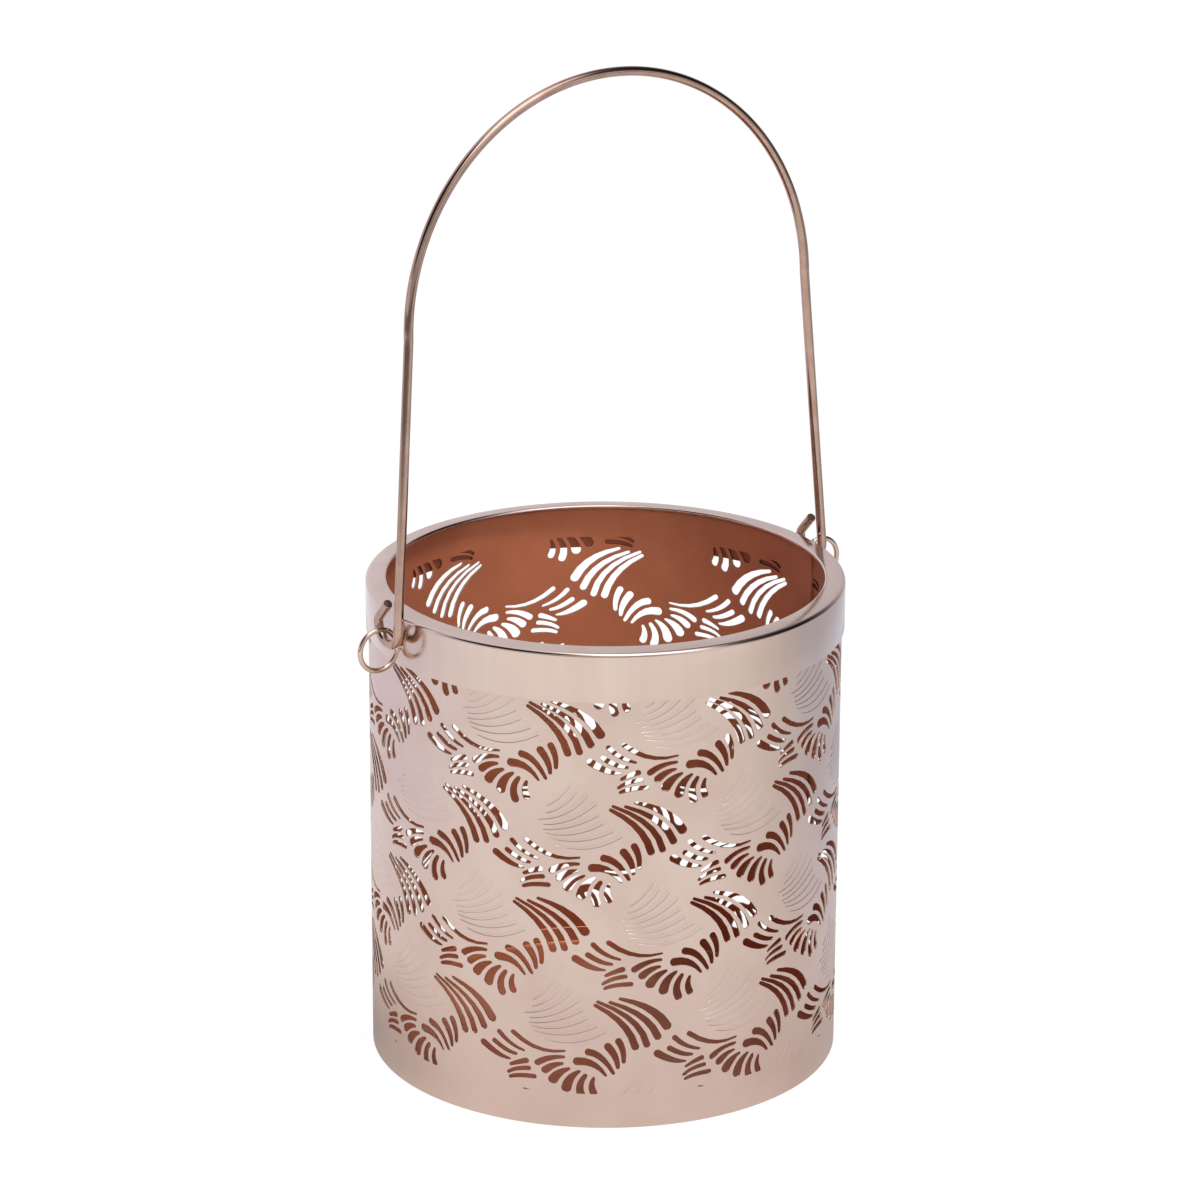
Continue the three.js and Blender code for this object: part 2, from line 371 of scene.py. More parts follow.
def swept(path: Array, across: Array, radius: Array, sides: int) -> tuple[Array, list[Array]]:
    """Carries a circle along an open path and closes both ends.

    At each station the circle lies in the plane of two directions square to the path: the given one with
    its part along the path taken off, and the path's direction crossed with it.

    Args:
        path: Stations in millimetres.
        across: A direction at each station that is never along the path.
        radius: The circle's radius at each station.
        sides: Corners of the circle.

    Returns:
        The points, the quads of the skin and the two end faces.
    """
    along = np.gradient(path, axis=0)
    along /= np.linalg.norm(along, axis=1, keepdims=True)
    first = across - along * np.sum(across * along, axis=1, keepdims=True)
    first /= np.linalg.norm(first, axis=1, keepdims=True)
    second = np.cross(along, first)
    turn = full_turn(sides)
    ring = np.cos(turn)[None, :, None] * first[:, None] + np.sin(turn)[None, :, None] * second[:, None]
    points = (path[:, None] + radius[:, None, None] * ring).reshape(-1, 3)
    quads = grid_quads(len(path), sides, close_rows=False)[:, ::-1]
    last = np.arange(sides) + (len(path) - 1) * sides
    return points, [quads, np.arange(sides)[None, ::-1], last[None]]


def facing(corners: Array) -> Array:
    """Unit normals of faces (faces, corners, 3): the two edges at each one's first corner, crossed."""
    crossed = np.cross(corners[:, 1] - corners[:, 0], corners[:, -1] - corners[:, 0])
    return crossed / np.maximum(np.linalg.norm(crossed, axis=1, keepdims=True), 1e-9)


def free_edges(triangles: Array) -> Array:
    """Edges, from corner to corner, that no neighbouring triangle runs along the other way."""
    directed = np.concatenate([triangles[:, pair] for pair in ([0, 1], [1, 2], [2, 0])])
    return directed[~np.isin(directed @ [directed.max() + 1, 1], directed @ [1, directed.max() + 1])]


# Ornament: slots and etched marks of one motif, in millimetres from its point

@dataclass(frozen=True)
class Stroke:
    """One teardrop: narrow end, a point half-way, wide end, width there, and the narrow end's share of it."""

    narrow: Pair
    half_way: Pair
    wide: Pair
    width: float
    tip: float


SLOTS = tuple(Stroke(*row) for row in (
    # Wing
    ((-11.1, 12.7), (-3.6, 7.1), (-0.1, -0.3), 2.05, 0.5),
    ((-10.45, 13.6), (-1.1, 7.95), (2.85, 0.25), 1.85, 0.48),
    ((-7.3, 13.45), (1.45, 8.9), (5.85, 2.2), 2.05, 0.45),
    ((-4.7, 14.35), (3.6, 10.85), (8.45, 4.8), 2.55, 0.36),
    # Petals
    ((-7.65, -7.45), (-11.4, -3.9), (-16.35, -3.6), 2.4, 0.31),
    ((-5.7, -6.95), (-9.2, -2.05), (-13.3, -0.75), 2.1, 0.46),
    ((-4.8, -5.5), (-5.5, -1.85), (-8.05, 1.75), 2.1, 0.5),
    ((-3.35, -3.95), (-3.55, -0.05), (-5.2, 3.15), 1.85, 0.6),
    # Swoops
    ((-32.9, -4.55), (-36.9, -3.7), (-41.6, -0.9), 2.1, 0.3),
    ((-31.05, -2.85), (-34.15, -2.3), (-38.2, 0.05), 1.5, 0.62),
    ((-29.0, -1.75), (-33.3, -0.05), (-36.65, 3.0), 1.45, 0.5),
    ((-18.2, -0.55), (-25.8, -0.45), (-32.8, 3.5), 1.45, 0.45),
    # Bars
    ((-33.4, -6.3), (-30.7, -5.1), (-27.95, -4.25), 1.55, 0.6),
    ((-34.0, -8.7), (-31.3, -7.1), (-27.35, -6.4), 1.3, 0.7),
    ((-33.5, -10.0), (-30.9, -8.9), (-25.85, -8.6), 1.35, 0.75),
    # Fan
    ((-18.3, -2.35), (-22.65, -3.0), (-26.3, -5.15), 1.8, 0.5),
    ((-18.65, -4.2), (-21.7, -5.05), (-24.3, -7.2), 2.1, 0.42),
    ((-16.95, -5.4), (-20.2, -7.2), (-21.75, -10.05), 2.75, 0.33),
    ((-14.3, -5.95), (-17.1, -8.4), (-18.0, -12.15), 2.75, 0.33),
    ((-12.7, -6.8), (-14.5, -10.3), (-13.45, -13.9), 2.25, 0.54),
    ((-10.75, -7.55), (-11.45, -10.25), (-10.35, -12.75), 2.0, 0.45),
))
MARKS = tuple(Stroke(*row) for row in (
    ((-27.1, 12.85), (-23.85, 15.45), (-21.0, 19.4), 0.95, 0.5),
    ((-27.5, 10.9), (-22.9, 13.5), (-19.5, 17.9), 1.4, 0.3),
    ((-29.5, 9.1), (-22.3, 11.4), (-16.6, 16.9), 1.4, 0.3),
    ((-28.1, 7.8), (-21.0, 9.8), (-14.3, 14.7), 1.4, 0.3),
    ((-28.2, 6.4), (-20.8, 7.9), (-13.6, 11.5), 1.2, 0.3),
    ((-27.5, 5.6), (-20.0, 5.95), (-12.3, 9.3), 1.25, 0.3),
    ((-26.8, 4.4), (-18.3, 4.2), (-9.8, 7.15), 1.25, 0.3),
    ((-24.8, 2.6), (-16.2, 2.15), (-7.6, 5.65), 1.2, 0.3),
))


@dataclass(frozen=True)
class Lattice:
    """How the motif repeats over the sheet, measured from the seam along the sheet and upwards.

    Rows and copies are counted from the first of each up to the second.
    """

    length: float
    repeat: float = 46.3
    row_pitch: float = 26.8
    row_shift: float = 21.3
    first: Pair = (15.46, 102.3)
    top_row: Pair = (0.6, -2.0)
    rows: tuple[int, int] = (-1, 6)
    copies: tuple[int, int] = (-3, 11)
    bottom: float = 9.4
    top: float = 119.9
    seam_margin: float = 3.0
    least_area: float = 0.5
    swell: float = 1.4

    def origins(self) -> Array:
        """The motif's points, past the sheet's edges too: shift and drop times row, repeat times copy.

        The row behind the band is a little off that lattice.

        Returns:
            Flat points (copies, 1, 1, 2).
        """
        row, copy = np.meshgrid(np.arange(*self.rows), np.arange(*self.copies), indexing="ij")
        along = self.first[0] + (self.row_shift * row) % self.repeat + self.repeat * copy
        points = np.stack([along, self.first[1] - self.row_pitch * row], axis=-1)
        points[0] += self.top_row
        return points.reshape(-1, 1, 1, 2)

    def outlines(self, strokes: Sequence[Stroke], stations: int, cap: int, inset: float = 0.0) -> Array:
        """Outlines of every copy of some strokes.

        A stroke's centre line is the curve (1-t)^2 narrow + 2t(1-t) pull + t^2 wide, whose point pull takes it
        through the half-way point. Its outline keeps to both sides of that line by a radius of
        tip + (end - tip) (1 - (1-t)^swell), with a half circle round each end.

        Args:
            strokes: The motif's strokes.
            stations: Points on each side.
            cap: Points round the wide end; the narrow end has half as many.
            inset: How far the outline is drawn in, at most half of the radius.

        Returns:
            Closed outlines (copies, points, 2) that reach into the pattern.
        """
        points = np.array([[s.narrow, s.half_way, s.wide] for s in strokes])
        narrow, half_way, wide = points.swapaxes(0, 1)[:, :, None]
        end = np.array([[[s.width / 2.0]] for s in strokes])
        tip = end * np.array([[[s.tip]] for s in strokes])
        pull = 2.0 * half_way - (narrow + wide) / 2.0
        t = np.linspace(0.0, 1.0, stations)[None, :, None]
        middle = (1 - t) ** 2 * narrow + 2 * t * (1 - t) * pull + t ** 2 * wide
        along = 2 * (1 - t) * (pull - narrow) + 2 * t * (wide - pull)
        along /= np.linalg.norm(along, axis=-1, keepdims=True)
        # The centre line stops one radius before each end, so that the strokes keep their measured length
        middle = middle + along * ((1 - t) * tip - t * end)
        side = np.stack([-along[..., 1], along[..., 0]], axis=-1)
        radius = tip + (end - tip) * (1.0 - (1.0 - t) ** self.swell)
        radius = np.maximum(radius - inset, radius / 2.0)

        def half_circle(station: int, count: int, turn: float) -> Array:
            """Points strictly inside the half circle round one end, from one side to the other."""
            angle = (np.pi * np.arange(1, count + 1) / (count + 1))[None, :, None]
            return middle[:, station, None] - radius[:, station, None] * turn * (
                np.cos(angle) * side[:, station, None] - np.sin(angle) * along[:, station, None])

        outline = np.concatenate([
            middle - radius * side, half_circle(-1, cap, 1.0),
            (middle + radius * side)[:, ::-1], half_circle(0, cap // 2, -1.0)], axis=1)
        outline = (self.origins() + outline[None]).reshape(-1, outline.shape[1], 2)
        low, high = outline[..., 0].min(axis=1), outline[..., 0].max(axis=1)
        inside = (low > self.seam_margin) & (high < self.length - self.seam_margin)
        x, z = outline[..., 0], np.clip(outline[..., 1], self.bottom, self.top)
        area = np.sum(x * np.roll(z, -1, 1) - z * np.roll(x, -1, 1), axis=1) / 2.0
        return outline[inside & (area > self.least_area)]

    def trimmed(self, loops: Array) -> tuple[Array, list[Array]]:
        """Cuts closed outlines off level at the pattern's two edges.

        An edge that crosses a level gets a point there, at the share (level - z) / (next z - z) of its length.

        Args:
            loops: Outlines (copies, points, 2).

        Returns:
            The points kept, and the numbers of each outline's own.
        """
        following = np.roll(loops, -1, axis=1)
        z, next_z = loops[..., 1], following[..., 1]
        inside = (z > self.bottom) & (z < self.top)
        crosses = inside != np.roll(inside, -1, axis=1)
        level = np.where(np.maximum(z, next_z) > self.top, self.top, self.bottom)
        share = (level - z) / np.where(crosses, next_z - z, 1.0)
        both = np.stack([loops, loops + share[..., None] * (following - loops)], axis=2).reshape(len(loops), -1, 2)
        kept = np.stack([inside, crosses], axis=2).reshape(len(loops), -1)
        return both[kept], np.split(np.arange(kept.sum()), np.cumsum(kept.sum(axis=1))[:-1])


# Sub-assemblies

class Ground(IntEnum):
    """What a triangle of the flat sheet lies in."""

    PLAIN = 0
    SLOPE = 1
    FLOOR = 2


class SheetFinish(IntEnum):
    """The sleeve's finishes, in the order of its materials."""

    OUTSIDE = 0
    INSIDE = 1
    EDGE = 2
    MARK = 3


@dataclass
class PiercedSleeve:
    """The rolled sheet: slots right through, shallow etched marks outside, its start tucked inside its end."""

    radius: float = 62.0
    thickness: float = 0.5
    height: float = 128.95
    lap: float = 8.1
    lap_gap: float = 0.02
    lap_lean: float = 2.0
    joggle: float = 1.6
    etch_depth: float = 0.075
    etch_slope: float = 0.2
    edge_lean: float = 0.9
    slot_points: tuple[int, int] = (6, 5)
    mark_points: tuple[int, int] = (7, 3)
    grid: float = 3.6
    merge: float = 1e-5

    @property
    def lattice(self) -> Lattice:
        """The pattern, which runs once round the sleeve."""
        return Lattice(2.0 * math.pi * self.radius)

    def free_grid(self, marks: Array) -> Array:
        """An even grid over the sheet, less its points within about a millimetre of an outline.

        Args:
            marks: The outlines' points.

        Returns:
            The grid's flat points.
        """
        whole = self.lattice.length + self.lap
        across = np.linspace(-self.lap, self.lattice.length, round(whole / self.grid) + 1)
        up = np.linspace(0.0, self.height, round(self.height / self.grid) + 1)
        grid = np.stack(np.meshgrid(across, up, indexing="ij"), axis=-1).reshape(-1, 2)
        border = math.ceil(self.lap) + 1
        taken = np.zeros((round(whole) + 2 * border, round(self.height) + 2 * border), bool)
        cell = np.round(marks).astype(int) + border
        for step in ((0, 0), (1, 0), (-1, 0), (0, 1), (0, -1)):
            taken[cell[:, 0] + step[0], cell[:, 1] + step[1]] = True
        spot = np.round(grid).astype(int) + border
        return grid[~taken[spot[:, 0], spot[:, 1]]]

    def flat_pattern(self) -> tuple[Array, ...]:
        """Cuts the flat sheet into triangles that follow every outline.

        Returns:
            Flat points, triangles, the ground of each triangle, and each point's depth in an etched mark.
        """
        draw, cut = self.lattice.outlines, self.lattice.trimmed
        slots, slot_ids = cut(draw(SLOTS, *self.slot_points))
        lips, lip_ids = cut(draw(MARKS, *self.mark_points))
        floors, floor_ids = cut(draw(MARKS, *self.mark_points, self.etch_slope))
        marks = np.concatenate([slots, lips, floors])
        sheet = list(map(Vector, np.concatenate([marks, self.free_grid(marks)]).tolist()))
        floors_from = len(slots) + len(lips)
        loops = slot_ids + [loop + len(slots) for loop in lip_ids] + [loop + floors_from for loop in floor_ids]
        points, _, triangles, sources, _, owners = delaunay_2d_cdt(
            sheet, [], [loop.tolist() for loop in loops], 0, self.merge)
        # A triangle's owners are the outlines round it, numbered slots first, then lips, then floors
        first_lip, first_floor = len(slot_ids), len(slot_ids) + len(lip_ids)
        lowest, highest = (np.array([pick(owner, default=-1) for owner in owners]) for pick in (min, max))
        kept = (lowest < 0) | (lowest >= first_lip)
        ground = np.select([highest >= first_floor, highest >= first_lip], [Ground.FLOOR, Ground.SLOPE], Ground.PLAIN)
        deep = np.array([any(floors_from <= number < len(marks) for number in source) for source in sources])
        return np.array(points), np.array(triangles)[kept], ground[kept], deep * self.etch_depth

    def radius_at(self, along: Array) -> Array:
        """Outer radius along the sheet: one thickness less, after the joggle, where its start tucks inside."""
        step = np.clip(-along / self.joggle, 0.0, 1.0)
        return self.radius - (self.thickness + self.lap_gap) * step * step * (3.0 - 2.0 * step)

    def corner_normals(self, points: Array, skins: Array, walls: Array, outward: Array, sloping: Array,
                       begins: Array) -> Array:
        """Directions of the corners of all faces.

        The skins face straight out or in, and squarely on an etched mark's slope. A wall's outer corners lean
        outwards, as an edge rounded by the punch would. The wall where the sheet begins, inside the lap, leans
        inwards, as if dressed flush.

        Args:
            points: The sleeve's points, outer ones first.
            skins: Triangles of both skins, outer ones first.
            walls: Quads of the walls, each with its two outer corners first.
            outward: The way out at each flat point.
            sloping: Which outer triangles lie in a slope.
            begins: Which walls stand where the sheet begins.

        Returns:
            One direction to a corner, in the order of the faces.
        """
        smooth = np.concatenate([outward, -outward])[skins]
        slopes = np.flatnonzero(sloping)
        smooth[slopes] = facing(points[skins[slopes]])[:, None]
        leaning = np.repeat(facing(points[walls])[:, None], 4, axis=1)
        leaning[:, :2] += self.edge_lean * outward[walls[:, :2]]
        leaning[begins] -= self.lap_lean * outward[walls[begins] % len(outward)]
        leaning /= np.linalg.norm(leaning, axis=2, keepdims=True)
        return np.concatenate([smooth.reshape(-1, 3), leaning.reshape(-1, 3)])

    def build(self) -> bpy.types.Object:
        """Rolls the flat pattern into the sleeve.

        A point s along the sheet and z up goes to the turn a = quarter turn + s / radius, at
        (r sin a, -r cos a, z). The inner skin lies one thickness inside, and a wall joins the two round every
        free edge.

        Returns:
            The sleeve's object.
        """
        flat, triangles, ground, depth = self.flat_pattern()
        count = len(flat)
        turn = math.pi / 2.0 + flat[:, 0] / self.radius
        outward = np.column_stack([np.sin(turn), -np.cos(turn), np.zeros(count)])
        rise = np.column_stack([np.zeros((count, 2)), flat[:, 1]])
        reach = self.radius_at(flat[:, 0])
        points = np.concatenate([outward * (reach - depth)[:, None] + rise,
                                 outward * (reach - self.thickness)[:, None] + rise])
        skins = np.concatenate([triangles, triangles[:, ::-1] + count])
        rim = free_edges(triangles)
        walls = np.column_stack([rim[:, ::-1], rim + count])
        begins, ends = ((flat[rim, 0] == edge).all(axis=1) for edge in (flat[:, 0].min(), flat[:, 0].max()))
        chosen = np.concatenate([
            np.where(ground == Ground.FLOOR, SheetFinish.MARK, SheetFinish.OUTSIDE),
            np.full(len(triangles), SheetFinish.INSIDE),
            np.where(begins | ends, SheetFinish.INSIDE, SheetFinish.EDGE)])
        piece = new_piece("pierced_sleeve", points, [skins, walls],
                          [SATIN_OUTSIDE, COPPER_INSIDE, BARE_EDGE, ETCHED], chosen, sharp=None)
        normals = self.corner_normals(points, skins, walls, outward, ground == Ground.SLOPE, begins)
        piece.data.normals_split_custom_set(normals.tolist())
        return piece


@dataclass
class BasePlate:
    """The pressed bottom with its turned-up edge."""

    radius: float = 61.45
    thickness: float = 0.6
    flange: float = 5.0
    bend: float = 1.2
    bend_margin: float = 0.5
    lip: float = 0.15
    middle: float = 4.0
    half_way: float = 30.0
    segments: int = 144

    def build(self) -> bpy.types.Object:
        """Turns the plate's section round the axis and closes its middle with a face above and below.

        Returns:
            The plate's object.
        """
        centre = (self.radius - self.bend, self.bend)
        inside = self.radius - self.thickness
        flat = [self.middle, self.half_way, centre[0] - self.bend_margin]
        below = np.concatenate([[[reach, 0.0] for reach in flat], arc(centre, self.bend, -90, 0, 7)])
        edge = [[self.radius, self.flange - self.lip], [self.radius - self.lip, self.flange],
                [inside + self.lip, self.flange], [inside, self.flange - self.lip]]
        above = np.concatenate([arc(centre, self.bend - self.thickness, 0, -90, 7),
                                [[reach, self.thickness] for reach in flat[::-1]]])
        outline = np.concatenate([below, edge, above])
        width = len(outline)
        points, (quads,) = revolved(outline, self.segments, closed=False)
        index = np.arange(self.segments * width).reshape(self.segments, width)
        outside = np.append(np.tile(np.arange(width - 1) < len(below), self.segments), [True, False])
        return new_piece("pressed_base", points, [quads, index[::-1, :1].T, index[:, -1:].T],
                         [COPPER_FLOOR, UNDERSIDE], outside)


@dataclass
class RimBand:
    """The pressed ring: skirt, rounded edge, slightly falling top and hemmed inner edge."""

    radius: float = 62.7
    bottom: float = 116.8
    top: float = 129.95
    peak: float = 130.3
    opening: float = 57.2
    thickness: float = 0.65
    edge: float = 1.0
    edge_turn: float = 88.0
    hem_width: float = 1.8
    hem: float = 1.1
    lip: float = 0.2
    burr: float = 0.05
    segments: int = 240

    def build(self) -> bpy.types.Object:
        """Turns the band's section round the axis.

        Returns:
            The band's object.
        """
        edge_centre = (self.radius - self.edge, self.top - self.edge)
        roll = self.hem / 2.0
        inside = self.radius - self.thickness
        hem_end = self.opening + self.hem_width
        front = np.concatenate([
            [[self.radius - self.lip, self.bottom], [self.radius - 0.3 * self.lip, self.bottom + 0.2 * self.lip],
             [self.radius, self.bottom + self.lip]],
            arc(edge_centre, self.edge, 0, self.edge_turn, 10),
            arc((self.opening + roll, self.peak - roll), roll, 90, 270, 11),
            [[hem_end, self.peak - self.hem], [hem_end + 0.1, self.peak - self.thickness - 0.2]]])
        back = np.concatenate([
            arc(edge_centre, self.edge - self.thickness, self.edge_turn, 0, 5),
            [[inside, self.bottom + self.burr], [inside + self.burr, self.bottom]]])
        outline = np.concatenate([front, back])
        points, faces = revolved(outline, self.segments)
        # The section's last face is the skirt's cut edge, which has the front's finish
        behind = np.arange(len(outline)) >= len(front)
        behind[-1] = False
        return new_piece("rolled_rim_band", points, faces, [SATIN_BAND, BAND_BACK], np.tile(behind, self.segments))


@dataclass
class EarRing:
    """A wire ring brazed to the band, upright on the hinge axis."""

    side: Side
    centre: Pair = (69.1, 122.0)
    radius: float = 5.45
    wire: float = 1.4
    band: float = 62.7
    bite: float = 0.1
    waist: float = 0.55
    foot: float = 0.95
    taper: float = 1.6
    ring_steps: int = 72
    wire_steps: int = 20
    braze_steps: int = 12

    def ring(self) -> Array:
        """The ring: a circle of the wire's radius carried round the ring's centre line.

        Returns:
            Its points, station by station.
        """
        turn, round_wire = full_turn(self.ring_steps)[:, None], full_turn(self.wire_steps)[None]
        reach = self.radius + self.wire / 2.0 * np.cos(round_wire)
        across = np.broadcast_to(self.wire / 2.0 * np.sin(round_wire), (self.ring_steps, self.wire_steps))
        return np.stack([self.centre[0] + reach * np.cos(turn), across, self.centre[1] + reach * np.sin(turn)],
                        axis=-1).reshape(-1, 3)

    def braze(self) -> tuple[Array, list[Array]]:
        """The braze: a spindle along the hinge axis.

        Its radius is waist + foot (half of 1 + cosine of the share of its length)^taper, from band to ring.

        Returns:
            Its points and faces.
        """
        start, end = self.band - self.bite, self.centre[0] - self.radius - self.wire * self.bite
        share = np.linspace(0.0, 1.0, self.braze_steps)
        path = np.column_stack([start + (end - start) * share, np.zeros(self.braze_steps),
                                np.full(self.braze_steps, self.centre[1])])
        size = self.waist + self.foot * (0.5 + 0.5 * np.cos(np.pi * share)) ** self.taper
        return swept(path, np.tile([0.0, 1.0, 0.0], (self.braze_steps, 1)), size, 24)

    def build(self) -> bpy.types.Object:
        """Joins the ring and its braze, mirrored for the left-hand ear.

        Returns:
            One object with both.
        """
        ring, (braze, skin) = self.ring(), self.braze()
        points = np.concatenate([ring, braze])
        faces = [grid_quads(self.ring_steps, self.wire_steps)] + [group + len(ring) for group in skin]
        points[:, 0] *= self.side.value
        if self.side is Side.LEFT:
            faces = [group[:, ::-1] for group in faces]
        return new_piece(f"brazed_ring_{self.side.name.lower()}", points, faces, [BRIGHT_RING])


@dataclass
class BailHandle:
    """One wire: arch, splayed legs and a curled hook through each ring."""

    wire: float = 2.5
    hinge: float = 126.5454
    hook_x: float = 66.093
    hook_bottom: float = 123.0945
    hook: float = 4.9
    curl: float = 2.2
    run: float = 6.4
    arch: float = 60.7
    rise: float = 137.0
    end_round: float = 0.45
    sides: int = 20

    def half_path(self) -> tuple[Array, Array]:
        """The centre line from one hook's end to the top, hinge axis at the origin.

        Returns:
            Stations, and for each how far the tube's reference has turned from across to along the bail.
        """
        bend_z = self.hook_bottom + self.hook - self.hinge
        arch_z = self.rise - self.arch
        knee = arc((self.hook - self.curl, bend_z), self.curl, 45, 0, 8)
        slope = np.array([-1.0, 1.0]) / math.sqrt(2.0)
        straight = knee[0] + slope * np.linspace(self.run, 0.0, 9)[:, None]
        hook = np.concatenate([straight[:-1], knee[:-1], arc((0.0, bend_z), self.hook, 0, -180, 33)])
        hook = np.column_stack([np.full(len(hook), self.hook_x), hook])
        share = np.linspace(0.0, 1.0, 41)[1:-1]
        leg = np.column_stack([self.hook_x + (self.arch - self.hook_x) * share, np.full(len(share), -self.hook),
                               bend_z + (arch_z - bend_z) * share])
        top = arc((0.0, arch_z), self.arch, 0, 90, 61)
        top = np.column_stack([top[:, 0], np.full(len(top), -self.hook), top[:, 1]])
        turned = np.concatenate([np.zeros(len(hook)), share, np.ones(len(top))])
        return np.concatenate([hook, leg, top]), turned

    def build(self) -> bpy.types.Object:
        """Sweeps the wire, with its cut ends rounded, and leans it so that its top is over the hinge.

        Near an end of rounding f, the radius at a distance x is the wire's less f (1 - root of 1 - (1 - x/f)^2).

        Returns:
            The bail's object.
        """
        half, turned = self.half_path()
        other = half[-2::-1] * [-1.0, 1.0, 1.0]
        path = np.concatenate([half, other])
        share = np.concatenate([turned, turned[-2::-1]])[:, None]
        across = (1.0 - share) * [1.0, 0.0, 0.0] + share * [0.0, 1.0, 0.0]
        tilt = np.array(Matrix.Rotation(-math.atan2(self.hook, self.rise), 3, "X"))
        path, across = path @ tilt.T, across @ tilt.T
        into = self.end_round * np.array([0.0, 0.1, 0.35, 1.0])
        first, last = (way / np.linalg.norm(way) for way in (path[1] - path[0], path[-2] - path[-1]))
        path = np.concatenate([path[0] + into[:, None] * first, path[1:-1], path[-1] + into[::-1, None] * last])
        across = np.concatenate([across[[0, 0, 0]], across, across[[-1, -1, -1]]])
        rounded = self.wire / 2.0 - self.end_round * (1.0 - np.sqrt(1.0 - (1.0 - into / self.end_round) ** 2))
        between = np.full(len(path) - 2 * len(rounded), self.wire / 2.0)
        points, faces = swept(path, across, np.concatenate([rounded, between, rounded[::-1]]), self.sides)
        # The two end faces have the cut finish, and so have the two rounds of faces next to each
        cut = np.zeros(sum(map(len, faces)), bool)
        rounds = 2 * self.sides
        cut[-2:] = cut[:rounds] = cut[-2 - rounds:-2] = True
        return new_piece("wire_bail", points + [0.0, 0.0, self.hinge], faces, [BAIL_WIRE, CUT_WIRE], cut)


# Studio

@dataclass
class PhotoCamera:
    """The photograph's viewpoint, in the part's frame."""

    place: Place = (0.0, -1246.8, 551.2)
    ear_turn: float = -33.4
    pitch: float = 0.33101
    yaw: float = -0.00112
    roll: float = 0.00431
    lens: float = 151.1
    sensor: float = 36.0
    sight: float = 20.0

    def build(self) -> None:
        """Places the camera: level directions from pitch and yaw, then the roll, then the turn of the ears."""
        turn = Matrix.Rotation(math.radians(self.ear_turn), 3, "Z")
        ahead = Vector((math.sin(self.yaw) * math.cos(self.pitch), math.cos(self.yaw) * math.cos(self.pitch),
                        -math.sin(self.pitch)))
        right = Vector((math.cos(self.yaw), -math.sin(self.yaw), 0.0))
        up = right.cross(ahead)
        level, upright = (math.cos(self.roll) * right + math.sin(self.roll) * up,
                          math.cos(self.roll) * up - math.sin(self.roll) * right)
        axes = turn @ Matrix((level, upright, -ahead)).transposed()
        camera = bpy.data.objects.new("photo_camera", bpy.data.cameras.new("photo_camera"))
        camera.data.lens = self.lens
        camera.data.sensor_width = self.sensor
        camera.data.clip_end = self.sight
        camera.matrix_world = Matrix.Translation(turn @ Vector(self.place) * MM) @ axes.to_4x4()
        bpy.context.scene.collection.objects.link(camera)
        bpy.context.scene.camera = camera


@dataclass(frozen=True)
class Zone:
    """A part of the floor or surround that metal sees at its own level, or else in its own tone.

    A pair is where it starts and where it is full, measured to the right, ahead, which is towards the camera, or
    away from the middle: in metres on the floor, and as parts of a unit heading in the surround.
    """

    level: float = 1.0
    tone: Colour | None = None
    right: Pair | None = None
    ahead: Pair | None = None
    away: Pair | None = None

    def share(self, right: Value, ahead: Value, away: Value | None = None) -> Value:
        """How far a place or heading is in the zone, from 0 to 1: its bands, multiplied."""
        measures = ((right, self.right), (ahead, self.ahead), (away, self.away))
        return math.prod(measure.band(*limits) for measure, limits in measures if limits is not None)


@dataclass(frozen=True)
class SkyPatch:
    """A round, soft-edged part of the surround: its heading, half angles in degrees, and level to metal."""

    right: float
    ahead: float
    up: float
    inner: float
    outer: float
    level: float


@dataclass(frozen=True)
class Lamp:
    """A lamp that metal doesn't show: a square soft box or, where it has an angle, a beam that fades to its edge.

    Metres, watts and degrees; size is the box's edge, or the radius of the beam's source.
    """

    name: str
    place: Place
    size: float
    power: float
    aim: Place = (0.0, 0.0, 0.1)
    angle: float | None = None

    def hang(self) -> None:
        """Adds the lamp, turned to its aim."""
        if self.angle is None:
            data = bpy.data.lights.new(self.name, "AREA")
            data.size = self.size
        else:
            data = bpy.data.lights.new(self.name, "SPOT")
            data.spot_size, data.spot_blend, data.shadow_soft_size = math.radians(self.angle), 1.0, self.size
        data.energy = self.power
        lamp = bpy.data.objects.new(self.name, data)
        lamp.visible_glossy = False
        turn = (Vector(self.aim) - Vector(self.place)).to_track_quat("-Z", "Y").to_matrix().to_4x4()
        lamp.matrix_world = Matrix.Translation(self.place) @ turn
        bpy.context.scene.collection.objects.link(lamp)


